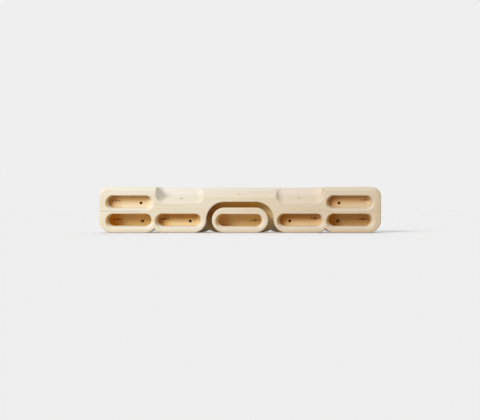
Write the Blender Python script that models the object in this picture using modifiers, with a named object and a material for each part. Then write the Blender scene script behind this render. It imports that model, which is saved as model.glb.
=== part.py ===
"""Wooden hangboard: a climber's training board, glued up from pine staves and routed to shape.

It is built the way a workshop makes it. Staves are glued in three layers into a blank. The blank
is trimmed to its outline and routed: seven finger pockets, a groove that frees the centre grip
all round at the front, three sloping holds on the top edge, and six screw holes.

Lengths are in metres. While the board is built, x runs to the right from its middle, y is the
depth behind the front face, and z is the height above the bottom edge. The parent empty then
puts the origin at the centre of the wall face, with the front looking along -Y and +Z up.
"""

import math

import bmesh
import bpy
from mathutils import Matrix, Vector

MM = 0.001

# Blank: three layers of staves, front to back
LAYER_COUNT = 3
LAYER_THICKNESS = 19 * MM
GLUE_GAP = 0.3 * MM
BACK_WALL = 12 * MM             # wood left behind the deep pockets and behind the groove

# Finger pockets: rounded slots, in two rows
POCKET_WIDTH = 90 * MM
POCKET_HEIGHT = 25.5 * MM
SHALLOW_DEPTH = 15 * MM
MEDIUM_DEPTH = 25 * MM
LIP_RADIUS = 7 * MM             # rounding of a rim below the opening and at its ends
BROW_RADIUS = 2 * MM            # rounding of a rim above the opening
FLOOR_RADIUS = 3 * MM           # fillet round a pocket's floor

# Walls between the pockets and the edges, from the bottom up and from the middle out
BOTTOM_WALL = 14.7 * MM
ROW_WALL = 13.3 * MM
TOP_WALL = 19 * MM
GROOVE_WALL = 12.5 * MM
PAIR_WALL = 15 * MM
END_WALL = 20.5 * MM

# Centre grip, a rounded bar with its own pocket, and the groove around it
GRIP_WIDTH = 120 * MM
GRIP_WALL = 14 * MM
GROOVE_WIDTH = 12 * MM
GRIP_CAP = 7.5 * MM             # part of the grip that belongs to the front layer's upper stave
MIDDLE_SEAM_RISE = 4.5 * MM     # how far above the grip the middle layer's seam runs

# Sloping holds on the top edge: a slope from the front edge, then a steeper ramp to the crest
SIDE_SLOPE = math.radians(25)
CENTRE_SLOPE = math.radians(18)
SIDE_SLOPER_WALL = 22.3 * MM    # wood between the lower pockets and a side sloper's front edge
CENTRE_SLOPER_WALL = 10.4 * MM  # wood between the groove and the centre sloper's front edge
CENTRE_SLOPER_WIDTH = 153 * MM
BLOCK_WALL = 11 * MM            # wood between the upper pockets and the side slopers' end walls
SLOPER_END_RADIUS = 18 * MM     # fillet between a side sloper and its end walls
SLOPER_EDGE_RADIUS = 2.5 * MM   # rounding of the front edge
BANK_EDGE_RADIUS = 3 * MM       # rounding where a side sloper's ends meet what lies above them
RAMP_RUN = 13 * MM
CREST_LAND = 1.5 * MM
CREST_DROP = 1 * MM

# Outline
TOP_CORNER_RADIUS = 20 * MM
LOBE_RADIUS = 26.7 * MM         # bottom corners, and the lobes around the lower pockets
SCALLOP_HEIGHT = 8 * MM         # notch between two lobes
BACK_SCALLOP_HEIGHT = 5 * MM    # notch in the back layer below the groove
BACK_SCALLOP_RADIUS = 46 * MM
TOP_EDGE_RADIUS = 10 * MM
FRONT_EDGE_RADIUS = 3 * MM
GROOVE_EDGE_RADIUS = 2 * MM

# Screw holes, one in each pocket of the two rows
SCREW_HOLE = 6 * MM
SCREW_INSET = 22.5 * MM         # from the pocket's end that is nearer to the middle
SCREW_DROP = 3 * MM             # below the middle of the pocket
COUNTERSINK = 9.5 * MM          # only in the deep pockets

# How far a cutter reaches past the wood, and how finely curves are divided
REACH = 5 * MM
POCKET_END_STEPS = 12
CORNER_STEPS = 8
ARCH_STEPS = 10
LIP_STEPS = 4
FLOOR_STEPS = 2
SLOPE_STEPS = 6
RAMP_STEPS = 3
BANK_STEPS = 7
BANK_EDGE_STEPS = 3
SLOPER_EDGE_STEPS = 3
EDGE_STEPS = 4
HOLE_SIDES = 16

# Sizes and places that follow from the ones above
DEPTH = LAYER_COUNT * LAYER_THICKNESS
DEEP_DEPTH = DEPTH - BACK_WALL
POCKET_RADIUS = POCKET_HEIGHT / 2
GRIP_HEIGHT = POCKET_HEIGHT + 2 * GRIP_WALL
GRIP_RADIUS = GRIP_HEIGHT / 2
GRIP_POCKET_WIDTH = GRIP_WIDTH - 2 * GRIP_WALL
GRIP_END_X = GRIP_WIDTH / 2 - GRIP_RADIUS
GROOVE_RADIUS = GRIP_RADIUS + GROOVE_WIDTH
GROOVE_X = GRIP_WIDTH / 2 + GROOVE_WIDTH
GROOVE_TOP = GRIP_HEIGHT + GROOVE_WIDTH
INNER_POCKET_X = GROOVE_X + GROOVE_WALL + POCKET_WIDTH / 2
OUTER_POCKET_X = INNER_POCKET_X + POCKET_WIDTH + PAIR_WALL
LOWER_POCKET_Z = BOTTOM_WALL + POCKET_RADIUS
UPPER_POCKET_Z = LOWER_POCKET_Z + POCKET_HEIGHT + ROW_WALL
WIDTH = 2 * (OUTER_POCKET_X + POCKET_WIDTH / 2 + END_WALL)
HEIGHT = UPPER_POCKET_Z + POCKET_RADIUS + TOP_WALL
SCALLOP_X = (INNER_POCKET_X + OUTER_POCKET_X) / 2
BACK_SCALLOP_X = GRIP_WIDTH / 2 + GROOVE_WIDTH / 2
FRONT_SEAM = GRIP_HEIGHT - GRIP_CAP
MIDDLE_SEAM = GRIP_HEIGHT + MIDDLE_SEAM_RISE
BACK_SEAM = LOWER_POCKET_Z + POCKET_RADIUS + ROW_WALL / 2
SIDE_SLOPER_FRONT = LOWER_POCKET_Z + POCKET_RADIUS + SIDE_SLOPER_WALL
CENTRE_SLOPER_FRONT = GROOVE_TOP + CENTRE_SLOPER_WALL
SIDE_SLOPER_START = CENTRE_SLOPER_WIDTH / 2
SIDE_SLOPER_END = OUTER_POCKET_X - POCKET_WIDTH / 2 - BLOCK_WALL
CREASE_Y = DEPTH - CREST_LAND - RAMP_RUN
CREST_Z = HEIGHT - CREST_DROP

# Pale pine, a little different from stave to stave
STAVE_COLOURS = ((0.79, 0.65, 0.45), (0.76, 0.61, 0.41), (0.81, 0.68, 0.49))
WOOD_ROUGHNESS = 0.55


def clear_scene():
    for item in list(bpy.data.objects):
        bpy.data.objects.remove(item, do_unlink=True)


def new_collection(name):
    collection = bpy.data.collections.new(name)
    bpy.context.scene.collection.children.link(collection)
    return collection


def add_object(name, mesh, collection, parent):
    item = bpy.data.objects.new(name, mesh)
    item.parent = parent
    collection.objects.link(item)
    return item


def hide_cutter(item):
    item.hide_render = True
    item.display_type = "WIRE"


def mesh_from(name, shape):
    """A mesh data block from an edited shape, with every face pointing out."""
    bmesh.ops.recalc_face_normals(shape, faces=shape.faces)
    mesh = bpy.data.meshes.new(name)
    shape.to_mesh(mesh)
    shape.free()
    return mesh


def arc(centre_x, centre_z, radius, start, end, steps):
    """Points (x, z) along an arc; the angles are in degrees, counter-clockwise from +x."""
    turns = [math.radians(start + (end - start) * step / steps) for step in range(steps + 1)]
    return [(centre_x + radius * math.cos(turn), centre_z + radius * math.sin(turn)) for turn in turns]


def slot_points(half_width, low, high):
    """A slot with round ends between two heights, centred on x = 0."""
    radius = (high - low) / 2
    middle = (high + low) / 2
    end_x = half_width - radius
    right = arc(end_x, middle, radius, -90, 90, POCKET_END_STEPS)
    left = arc(-end_x, middle, radius, 90, 270, POCKET_END_STEPS)
    return right + left


def loft(name, sections):
    """A closed solid through sections of equally many 3D points, with flat ends."""
    shape = bmesh.new()
    rings = [[shape.verts.new(point) for point in section] for section in sections]
    for ring, following in zip(rings, rings[1:]):
        for index in range(len(ring)):
            after = (index + 1) % len(ring)
            shape.faces.new((ring[index], ring[after], following[after], following[index]))
    shape.faces.new(rings[0])
    shape.faces.new(rings[-1])
    bmesh.ops.remove_doubles(shape, verts=shape.verts, dist=0.001 * MM)
    mesh = mesh_from(name, shape)
    mesh.shade_smooth()
    return mesh


def box(name, x_range, y_range, z_range):
    low = Vector((x_range[0], y_range[0], z_range[0]))
    high = Vector((x_range[1], y_range[1], z_range[1]))
    size = high - low
    placing = Matrix.Translation((low + high) / 2) @ Matrix.Diagonal((*size, 1))
    shape = bmesh.new()
    bmesh.ops.create_cube(shape, size=1, matrix=placing)
    return mesh_from(name, shape)


# Outlines of the wood, seen from the front. Each point is (x, z, rounding of the front edge).

def rounded(points, start_rounding, end_rounding):
    """Gives the points of one stretch a front-edge rounding that changes evenly along it."""
    last = max(len(points) - 1, 1)
    return [(x, z, start_rounding + (end_rounding - start_rounding) * index / last)
            for index, (x, z) in enumerate(points)]


def scallop(centre_x, notch_height, radius):
    """Two arcs that rise from the bottom edge and meet in a cusp, from left to right."""
    run = math.sqrt(radius ** 2 - (radius - notch_height) ** 2)
    sweep = math.degrees(math.asin(run / radius))
    rising = arc(centre_x - run, radius, radius, -90, sweep - 90, CORNER_STEPS)
    falling = arc(centre_x + run, radius, radius, 270 - sweep, 270, CORNER_STEPS)
    return rounded(rising + falling[1:], FRONT_EDGE_RADIUS, FRONT_EDGE_RADIUS)


def right_edge():
    """From the notch between the lobes round the right-hand end to the top edge."""
    corner_x = WIDTH / 2 - LOBE_RADIUS
    top_x = WIDTH / 2 - TOP_CORNER_RADIUS
    top_z = HEIGHT - TOP_CORNER_RADIUS
    bottom_corner = arc(corner_x, LOBE_RADIUS, LOBE_RADIUS, -90, 0, CORNER_STEPS)
    top_corner = arc(top_x, top_z, TOP_CORNER_RADIUS, 0, 90, CORNER_STEPS)
    path = scallop(SCALLOP_X, SCALLOP_HEIGHT, LOBE_RADIUS)
    path += rounded(bottom_corner, FRONT_EDGE_RADIUS, FRONT_EDGE_RADIUS)
    path += rounded(top_corner, FRONT_EDGE_RADIUS, TOP_EDGE_RADIUS)
    return path


def mirrored(right_half):
    """Closes a right-hand half, whose first and last stretch cross the middle, to a whole outline."""
    return right_half + [(-x, z, rounding) for x, z, rounding in reversed(right_half)]


def groove_side():
    """The groove's right-hand outer side, from the top of the arch down round the lobe's flank.

    The arch lies round the grip's end, and the lobe's circle touches it and the bottom edge.
    """
    rise = LOBE_RADIUS - GRIP_RADIUS
    reach = GROOVE_RADIUS + LOBE_RADIUS
    lobe_x = GRIP_END_X + math.sqrt(reach ** 2 - rise ** 2)
    turn = math.degrees(math.asin(rise / reach))
    arch = arc(GRIP_END_X, GRIP_RADIUS, GROOVE_RADIUS, 90, turn, ARCH_STEPS)
    flank = arc(lobe_x, LOBE_RADIUS, LOBE_RADIUS, 180 + turn, 270, CORNER_STEPS)
    side = rounded(arch, GROOVE_EDGE_RADIUS, GROOVE_EDGE_RADIUS)
    return side + rounded(flank[1:], GROOVE_EDGE_RADIUS, FRONT_EDGE_RADIUS)


def lobed_outline():
    """Front and middle layers: lobes round the pockets, and an arch where groove and grip are."""
    return mirrored(groove_side() + right_edge())


def back_outline():
    """Back layer: closed behind the groove, with a shallow notch below it."""
    return mirrored(scallop(BACK_SCALLOP_X, BACK_SCALLOP_HEIGHT, BACK_SCALLOP_RADIUS) + right_edge())


def grip_outline():
    points = slot_points(GRIP_WIDTH / 2, 0, GRIP_HEIGHT)
    return rounded(points, FRONT_EDGE_RADIUS, FRONT_EDGE_RADIUS)


def arch_outline():
    """The whole space of the groove and the grip, open below the board."""
    side = [(x, z) for x, z, _ in groove_side()]
    foot_x = side[-1][0]
    return mirrored(rounded(side + [(foot_x, -REACH)], 0, 0))


def plate(name, outline, front, back, collection, parent):
    """A flat outline as a solid between two depths, its front edge rounded as the points say."""
    curve = bpy.data.curves.new(name, "CURVE")
    curve.dimensions = "2D"
    curve.fill_mode = "BOTH"
    curve.extrude = (back - front) / 2
    spline = curve.splines.new("POLY")
    spline.points.add(len(outline) - 1)
    for point, (x, z, _) in zip(spline.points, outline):
        point.co = (x, z, 0, 1)
    spline.use_cyclic_u = True
    drawn = add_object(name + "_curve", curve, collection, parent)
    drawn.rotation_euler = (math.pi / 2, 0, 0)
    drawn.location = (0, (front + back) / 2, 0)
    bpy.context.view_layer.update()

    evaluated = drawn.evaluated_get(bpy.context.evaluated_depsgraph_get())
    mesh = bpy.data.meshes.new_from_object(evaluated)
    mesh.name = name
    shape = bmesh.new()
    shape.from_mesh(mesh)
    bmesh.ops.remove_doubles(shape, verts=shape.verts, dist=0.01 * MM)
    flat = math.radians(0.5)
    bmesh.ops.dissolve_limit(shape, angle_limit=flat, verts=shape.verts, edges=shape.edges)
    weigh_front_edges(shape, outline, curve.extrude)
    bmesh.ops.recalc_face_normals(shape, faces=shape.faces)
    shape.to_mesh(mesh)
    shape.free()

    item = add_object(name, mesh, collection, parent)
    item.matrix_world = drawn.matrix_world
    bpy.data.objects.remove(drawn, do_unlink=True)
    hide_cutter(item)
    widest = max(rounding for _, _, rounding in outline)
    if widest > 0:
        bevel = item.modifiers.new("front edge", "BEVEL")
        bevel.limit_method = "WEIGHT"
        bevel.width = widest
        bevel.segments = EDGE_STEPS
        bevel.use_clamp_overlap = False
    return item


def weigh_front_edges(shape, outline, front_level):
    """Sets the bevel weight of each edge round the front face from the outline's roundings."""
    weight = shape.edges.layers.float.new("bevel_weight_edge")
    widest = max(rounding for _, _, rounding in outline)
    if widest == 0:
        return
    for edge in shape.edges:
        if min(vert.co.z for vert in edge.verts) < front_level - 0.1 * MM:
            continue
        near = [min(outline, key=lambda point: math.dist(point[:2], vert.co.xy)) for vert in edge.verts]
        edge[weight] = sum(point[2] for point in near) / len(near) / widest


# Cutters

def pocket_section(half_width, depth, level):
    """The pocket's outline at one level behind the front face, centred on the pocket."""
    swell = round_off(LIP_RADIUS, level)
    swell_above = round_off(BROW_RADIUS, level)
    inset = round_off(FLOOR_RADIUS, depth - level)
    low = -POCKET_RADIUS - swell + inset
    high = POCKET_RADIUS + swell_above - inset
    points = slot_points(half_width + swell - inset, low, high)
    return [(x, level, z) for x, z in points]


def round_off(radius, distance):
    """How far a quarter round of this radius stands off its wall, this far from its edge."""
    if distance >= radius:
        return 0
    return radius - math.sqrt(radius ** 2 - (radius - max(distance, 0)) ** 2)


def quarter_levels(radius, steps):
    """Levels from 0 to the radius at even angles round a quarter circle."""
    return [radius * (1 - math.cos(math.pi / 2 * step / steps)) for step in range(steps + 1)]


def pocket_mesh(name, width, depth):
    lip = quarter_levels(LIP_RADIUS, LIP_STEPS)
    floor = [depth - level for level in reversed(quarter_levels(FLOOR_RADIUS, FLOOR_STEPS))]
    sections = [pocket_section(width / 2, depth, level) for level in lip + floor]
    mouth = [(x, -REACH, z) for x, _, z in sections[0]]
    return loft(name, [mouth] + sections)


def slope_height(front_z, slope, level):
    """Height of a sloping hold at one depth: rounded front edge, slope, ramp and crest."""
    crease_z = front_z + CREASE_Y * math.tan(slope)
    if level > CREASE_Y:
        share = min((level - CREASE_Y) / RAMP_RUN, 1)
        return crease_z + (CREST_Z - crease_z) * share
    radius = SLOPER_EDGE_RADIUS
    if level < radius * (1 - math.sin(slope)):
        centre_z = front_z + radius * math.tan(slope) - radius / math.cos(slope)
        return centre_z + math.sqrt(radius ** 2 - (radius - max(level, 0)) ** 2)
    return front_z + level * math.tan(slope)


def bank(end_x, floor_z, top_z):
    """How a side sloper ends at +x: a fillet up from its floor, a wall, and a rounded edge.

    Where the fillet reaches the top before it is upright, the rounded edge touches the fillet.
    """
    radius, edge = SLOPER_END_RADIUS, BANK_EDGE_RADIUS
    centre_x = end_x - radius
    centre_z = floor_z + radius
    edge_z = top_z - edge
    upright = centre_z <= edge_z
    if upright:
        edge_x = end_x + edge
        turn = 0
    else:
        edge_x = centre_x + math.sqrt(max((radius + edge) ** 2 - (centre_z - edge_z) ** 2, 0))
        turn = math.degrees(math.atan2(edge_z - centre_z, edge_x - centre_x))
    fillet = arc(centre_x, centre_z, radius, -90, turn, BANK_STEPS)
    return fillet + arc(edge_x, edge_z, edge, 180 + turn, 90, BANK_EDGE_STEPS)


def sloper_section(level):
    """What is cut off above the sloping holds at one depth, seen from the front."""
    side_z = slope_height(SIDE_SLOPER_FRONT, SIDE_SLOPE, level)
    centre_z = slope_height(CENTRE_SLOPER_FRONT, CENTRE_SLOPE, level)
    swell = round_off(SLOPER_EDGE_RADIUS, level)
    outer = bank(SIDE_SLOPER_END + swell, side_z, HEIGHT)
    inner = [(-x, z) for x, z in bank(-SIDE_SLOPER_START, side_z, centre_z)]
    half = list(reversed(inner)) + outer + [(outer[-1][0], HEIGHT + REACH)]
    whole = half + [(-x, z) for x, z in reversed(half)]
    return [(x, level, z) for x, z in whole]


def sloper_mesh():
    """The cutter for the three sloping holds, lofted from the front face to the wall face."""
    edge = quarter_levels(SLOPER_EDGE_RADIUS, SLOPER_EDGE_STEPS)
    slope = [edge[-1] + (CREASE_Y - edge[-1]) * step / SLOPE_STEPS for step in range(1, SLOPE_STEPS + 1)]
    ramp = [CREASE_Y + RAMP_RUN * step / RAMP_STEPS for step in range(1, RAMP_STEPS + 1)]
    sections = [sloper_section(level) for level in edge + slope + ramp + [DEPTH + REACH]]
    before = [(x, -REACH, z) for x, _, z in sections[0]]
    return loft("slopers", [before] + sections)


def cone(name, front_radius, back_radius, front, back):
    """A round cutter along the depth, between two depths."""
    shape = bmesh.new()
    turn = Matrix.Translation((0, (front + back) / 2, 0)) @ Matrix.Rotation(-math.pi / 2, 4, "X")
    bmesh.ops.create_cone(shape, cap_ends=True, segments=HOLE_SIDES, radius1=front_radius,
                          radius2=back_radius, depth=back - front, matrix=turn)
    mesh = mesh_from(name, shape)
    mesh.shade_smooth()
    return mesh


def pocket_places():
    """Each pocket of the two rows: name, x, z, depth."""
    places = []
    for side, sign in (("left", -1), ("right", 1)):
        places.append(("upper_" + side, sign * OUTER_POCKET_X, UPPER_POCKET_Z, SHALLOW_DEPTH))
        places.append(("outer_" + side, sign * OUTER_POCKET_X, LOWER_POCKET_Z, DEEP_DEPTH))
        places.append(("inner_" + side, sign * INNER_POCKET_X, LOWER_POCKET_Z, MEDIUM_DEPTH))
    return places


def add_pocket_cutters(collection, parent):
    for name, x, z, depth in pocket_places():
        mesh = pocket_mesh("pocket_" + name, POCKET_WIDTH, depth)
        cutter = add_object("cut_pocket_" + name, mesh, collection, parent)
        cutter.location = (x, 0, z)
    mesh = pocket_mesh("pocket_centre", GRIP_POCKET_WIDTH, DEEP_DEPTH)
    cutter = add_object("cut_pocket_centre", mesh, collection, parent)
    cutter.location = (0, 0, GRIP_RADIUS)


def add_screw_cutters(collection, parent):
    hole = cone("screw_hole", SCREW_HOLE / 2, SCREW_HOLE / 2, -REACH, DEPTH + REACH)
    sink_end = DEEP_DEPTH + (COUNTERSINK - SCREW_HOLE) / 2
    sink = cone("countersink", COUNTERSINK / 2, SCREW_HOLE / 2, DEEP_DEPTH, sink_end)
    for name, x, z, depth in pocket_places():
        toward_middle = -math.copysign(1, x)
        place = (x + toward_middle * (POCKET_WIDTH / 2 - SCREW_INSET), 0, z - SCREW_DROP)
        cutter = add_object("cut_screw_hole_" + name, hole, collection, parent)
        cutter.location = place
        if depth == DEEP_DEPTH:
            cutter = add_object("cut_countersink_" + name, sink, collection, parent)
            cutter.location = place


def add_groove_cutter(collection, profiles, parent):
    """The groove as a solid: the arch's space without the grip, down to the groove's bottom."""
    arch = plate("cut_groove", arch_outline(), -REACH, DEEP_DEPTH, collection, parent)
    core = plate("groove_core", rounded(slot_points(GRIP_WIDTH / 2, 0, GRIP_HEIGHT), 0, 0),
                 -2 * REACH, DEPTH, profiles, parent)
    add_boolean(arch, "DIFFERENCE", core)


def add_boolean(item, operation, operand):
    step = item.modifiers.new(operation.lower(), "BOOLEAN")
    step.operation = operation
    step.solver = "EXACT"
    if isinstance(operand, bpy.types.Collection):
        step.operand_type = "COLLECTION"
        step.collection = operand
    else:
        step.object = operand


# Staves

def wood(name, colour):
    material = bpy.data.materials.new(name)
    material.use_nodes = True
    shader = material.node_tree.nodes["Principled BSDF"]
    shader.inputs["Base Color"].default_value = (*colour, 1)
    shader.inputs["Roughness"].default_value = WOOD_ROUGHNESS
    shader.inputs["Metallic"].default_value = 0
    return material


def layer_range(layer):
    """Front and back depth of a layer; the outer faces reach past the wood, to be trimmed."""
    front = layer * LAYER_THICKNESS + GLUE_GAP / 2
    back = (layer + 1) * LAYER_THICKNESS - GLUE_GAP / 2
    if layer == 0:
        front = -REACH
    if layer == LAYER_COUNT - 1:
        back = DEPTH + REACH
    return front, back


def above(seam):
    return seam + GLUE_GAP / 2, HEIGHT + REACH


def below(seam):
    return -REACH, seam - GLUE_GAP / 2


def stave_plan(lobed, grip, back):
    """Each stave: name, layer, x range, z range, and the outline that trims it."""
    far = WIDTH / 2 + REACH
    whole = (-far, far)
    left = (-far, 0)
    right = (0, far)
    return [
        ("front_upper_stave", 0, whole, above(FRONT_SEAM), lobed),
        ("front_lower_left_stave", 0, left, below(FRONT_SEAM), lobed),
        ("front_lower_right_stave", 0, right, below(FRONT_SEAM), lobed),
        ("front_grip_cap", 0, whole, above(FRONT_SEAM), grip),
        ("front_grip_stave", 0, whole, below(FRONT_SEAM), grip),
        ("middle_upper_stave", 1, whole, above(MIDDLE_SEAM), lobed),
        ("middle_lower_left_stave", 1, left, below(MIDDLE_SEAM), lobed),
        ("middle_lower_right_stave", 1, right, below(MIDDLE_SEAM), lobed),
        ("middle_grip_stave", 1, whole, below(MIDDLE_SEAM), grip),
        ("back_upper_stave", 2, whole, above(BACK_SEAM), back),
        ("back_lower_stave", 2, whole, below(BACK_SEAM), back),
    ]


def bake(item):
    """Replaces the stave's mesh by what its modifiers make of it, shaded smooth between edges."""
    evaluated = item.evaluated_get(bpy.context.evaluated_depsgraph_get())
    mesh = bpy.data.meshes.new_from_object(evaluated)
    mesh.name = item.name
    item.modifiers.clear()
    item.data = mesh
    shape = bmesh.new()
    shape.from_mesh(mesh)
    bmesh.ops.remove_doubles(shape, verts=shape.verts, dist=0.005 * MM)
    bmesh.ops.dissolve_degenerate(shape, dist=0.005 * MM, edges=shape.edges)
    shape.to_mesh(mesh)
    shape.free()
    mesh.shade_smooth()
    mesh.set_sharp_from_angle(angle=math.radians(28))


def build():
    clear_scene()
    parts = new_collection("hangboard")
    profiles = new_collection("outlines")
    routing = new_collection("routing")
    groove = new_collection("groove")
    frame = bpy.data.objects.new("hangboard_frame", None)
    parts.objects.link(frame)
    frame.location = (0, -DEPTH, -HEIGHT / 2)

    lobed = plate("outline_lobed", lobed_outline(), 0, DEPTH, profiles, frame)
    back = plate("outline_back", back_outline(), 0, DEPTH, profiles, frame)
    grip = plate("outline_grip", grip_outline(), 0, DEPTH, profiles, frame)
    add_pocket_cutters(routing, frame)
    add_screw_cutters(routing, frame)
    add_object("cut_slopers", sloper_mesh(), routing, frame)
    add_groove_cutter(groove, profiles, frame)
    for cutter in list(routing.objects) + list(groove.objects):
        hide_cutter(cutter)

    staves = []
    for index, (name, layer, x_range, z_range, outline) in enumerate(stave_plan(lobed, grip, back)):
        stave = add_object(name, box(name, x_range, layer_range(layer), z_range), parts, frame)
        stave.data.materials.append(wood(name + "_pine", STAVE_COLOURS[index % len(STAVE_COLOURS)]))
        add_boolean(stave, "INTERSECT", outline)
        add_boolean(stave, "DIFFERENCE", routing)
        if outline is back:
            add_boolean(stave, "DIFFERENCE", groove)
        staves.append(stave)
    bpy.context.view_layer.update()
    for stave in staves:
        bake(stave)


build()
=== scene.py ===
"""Looks of a wooden hangboard: finely shaped staves of pale pine, on a plain pale floor.

Each stave of the fixed frame is replaced by a piece of the same form with finer curves, softened
edges and a pine of its own. Lengths are in metres. While the staves are shaped, x runs to the
right from the board's middle, y is the depth behind its front face, and z is the height above
its bottom edge; place() then moves a mesh into the frame.
"""

import math

import bmesh
import bpy
from mathutils import Matrix, Vector


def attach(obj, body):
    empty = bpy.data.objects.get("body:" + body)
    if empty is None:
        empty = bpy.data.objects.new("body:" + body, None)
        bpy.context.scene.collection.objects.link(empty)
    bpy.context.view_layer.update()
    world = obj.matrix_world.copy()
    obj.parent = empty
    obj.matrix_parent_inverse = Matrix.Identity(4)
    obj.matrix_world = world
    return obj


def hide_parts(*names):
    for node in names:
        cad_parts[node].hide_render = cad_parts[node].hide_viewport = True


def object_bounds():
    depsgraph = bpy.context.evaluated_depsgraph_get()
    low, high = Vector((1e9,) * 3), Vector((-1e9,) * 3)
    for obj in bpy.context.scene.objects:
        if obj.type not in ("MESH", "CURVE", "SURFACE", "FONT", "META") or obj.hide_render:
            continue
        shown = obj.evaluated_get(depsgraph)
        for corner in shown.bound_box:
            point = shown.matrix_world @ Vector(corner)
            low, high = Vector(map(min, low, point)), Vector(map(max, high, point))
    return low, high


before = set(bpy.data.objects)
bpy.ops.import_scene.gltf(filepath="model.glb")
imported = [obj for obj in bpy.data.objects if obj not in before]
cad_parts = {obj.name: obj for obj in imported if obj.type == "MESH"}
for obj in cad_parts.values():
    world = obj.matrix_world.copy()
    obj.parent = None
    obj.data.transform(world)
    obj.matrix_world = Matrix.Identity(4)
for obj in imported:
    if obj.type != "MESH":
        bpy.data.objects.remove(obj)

MM = 0.001
CAD_LOW, CAD_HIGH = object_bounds()
WIDTH, DEPTH, HEIGHT = CAD_HIGH - CAD_LOW
FRONT_Y = CAD_LOW.y
BOTTOM_Z = CAD_LOW.z

# Blank
LAYER_COUNT = 3
LAYER_THICKNESS = DEPTH / LAYER_COUNT
SEAM_GAP = 0.06 * MM
BACK_WALL = 12 * MM

# Finger pockets
POCKET_WIDTH = 90 * MM
POCKET_HEIGHT = 25.5 * MM
SHALLOW_DEPTH = 15 * MM
MEDIUM_DEPTH = 25 * MM
DEEP_DEPTH = DEPTH - BACK_WALL
LIP_RADIUS = 12 * MM  # rounding of a rim below the opening and at its ends
LIP_LIFT = 1.1 * MM  # how much of it the front face cuts off, as a crisp edge
BROW_RADIUS = 2 * MM  # rounding of a rim above the opening
FLOOR_RADIUS = 3 * MM

# Walls from the bottom up and from the middle out
BOTTOM_WALL = 14.7 * MM
ROW_WALL = 13.3 * MM
GROOVE_WALL = 12.5 * MM
PAIR_WALL = 15 * MM

# Centre grip and the groove around it
GRIP_WIDTH = 120 * MM
GRIP_WALL = 14 * MM
GROOVE_WIDTH = 12 * MM
GRIP_CAP = 7.5 * MM
MIDDLE_SEAM_RISE = 4.5 * MM

# Sloping holds
SIDE_SLOPE = math.radians(25)
CENTRE_SLOPE = math.radians(18)
SIDE_SLOPER_WALL = 22.3 * MM
CENTRE_SLOPER_WALL = 10.4 * MM
CENTRE_SLOPER_WIDTH = 153 * MM
BLOCK_WALL = 11 * MM
SLOPER_END_RADIUS = 18 * MM
SLOPER_EDGE_RADIUS = 2.5 * MM
BANK_EDGE_RADIUS = 3 * MM
RAMP_RUN = 13 * MM
CREST_LAND = 1.5 * MM
CREST_DROP = 1 * MM
CREASE_BLEND = 1.5 * MM  # half the run over which one slope turns into the next

# Outline
TOP_CORNER_RADIUS = 20 * MM
LOBE_RADIUS = 26.7 * MM
SCALLOP_HEIGHT = 8 * MM
BACK_SCALLOP_HEIGHT = 5 * MM
BACK_SCALLOP_RADIUS = 46 * MM
TOP_EDGE_RADIUS = 10 * MM
FRONT_EDGE_RADIUS = 3 * MM
GROOVE_EDGE_RADIUS = 2 * MM
BACK_EDGE_RADIUS = 0.8 * MM  # the sanded arris round the wall face

# Screw holes
SCREW_HOLE = 6 * MM
SCREW_INSET = 22.5 * MM
SCREW_DROP = 3 * MM
COUNTERSINK = 9.5 * MM
HOLE_CHAMFER = 0.4 * MM

FINE = 2
POCKET_END_STEPS = 12 * FINE
CORNER_STEPS = 10 * FINE
ARCH_STEPS = 14 * FINE
LIP_STEPS = 4 * FINE
FLOOR_STEPS = 3 * FINE
SLOPE_STEPS = 6 * FINE
RAMP_STEPS = 12 * FINE
BANK_STEPS = 8 * FINE
BANK_EDGE_STEPS = 3 * FINE
SLOPER_EDGE_STEPS = 3 * FINE
EDGE_STEPS = 3 * FINE
ARRIS_STEPS = 2
HOLE_SIDES = 24 * FINE
RING_SIDES = 8 * FINE
GLYPH_STEPS = 4

# Working distances
REACH = 5 * MM  # how far blanks and cutters reach past the wood
SAME_POINT = 0.001 * MM  # points of an outline this close are one
WELD = 0.004 * MM  # points of a cut mesh this close are one
ON_WALL = 0.05 * MM  # a point this close to a cutter's wall lies on it
SHARP_ANGLE = math.radians(26)  # an edge that turns more than this stays crisp

# Places that follow
POCKET_RADIUS = POCKET_HEIGHT / 2
GRIP_HEIGHT = POCKET_HEIGHT + 2 * GRIP_WALL
GRIP_RADIUS = GRIP_HEIGHT / 2
GRIP_POCKET_WIDTH = GRIP_WIDTH - 2 * GRIP_WALL
GRIP_END_X = GRIP_WIDTH / 2 - GRIP_RADIUS
GROOVE_RADIUS = GRIP_RADIUS + GROOVE_WIDTH
GROOVE_X = GRIP_WIDTH / 2 + GROOVE_WIDTH
GROOVE_TOP = GRIP_HEIGHT + GROOVE_WIDTH
INNER_POCKET_X = GROOVE_X + GROOVE_WALL + POCKET_WIDTH / 2
OUTER_POCKET_X = INNER_POCKET_X + POCKET_WIDTH + PAIR_WALL
LOWER_POCKET_Z = BOTTOM_WALL + POCKET_RADIUS
UPPER_POCKET_Z = LOWER_POCKET_Z + POCKET_HEIGHT + ROW_WALL
SCALLOP_X = (INNER_POCKET_X + OUTER_POCKET_X) / 2
BACK_SCALLOP_X = GRIP_WIDTH / 2 + GROOVE_WIDTH / 2
FRONT_SEAM = GRIP_HEIGHT - GRIP_CAP
MIDDLE_SEAM = GRIP_HEIGHT + MIDDLE_SEAM_RISE
BACK_SEAM = LOWER_POCKET_Z + POCKET_RADIUS + ROW_WALL / 2
SIDE_SLOPER_FRONT = LOWER_POCKET_Z + POCKET_RADIUS + SIDE_SLOPER_WALL
CENTRE_SLOPER_FRONT = GROOVE_TOP + CENTRE_SLOPER_WALL
SIDE_SLOPER_START = CENTRE_SLOPER_WIDTH / 2
SIDE_SLOPER_END = OUTER_POCKET_X - POCKET_WIDTH / 2 - BLOCK_WALL
CREST_Y = DEPTH - CREST_LAND
CREASE_Y = CREST_Y - RAMP_RUN
CREST_Z = HEIGHT - CREST_DROP


# Helpers for meshes and objects

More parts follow.
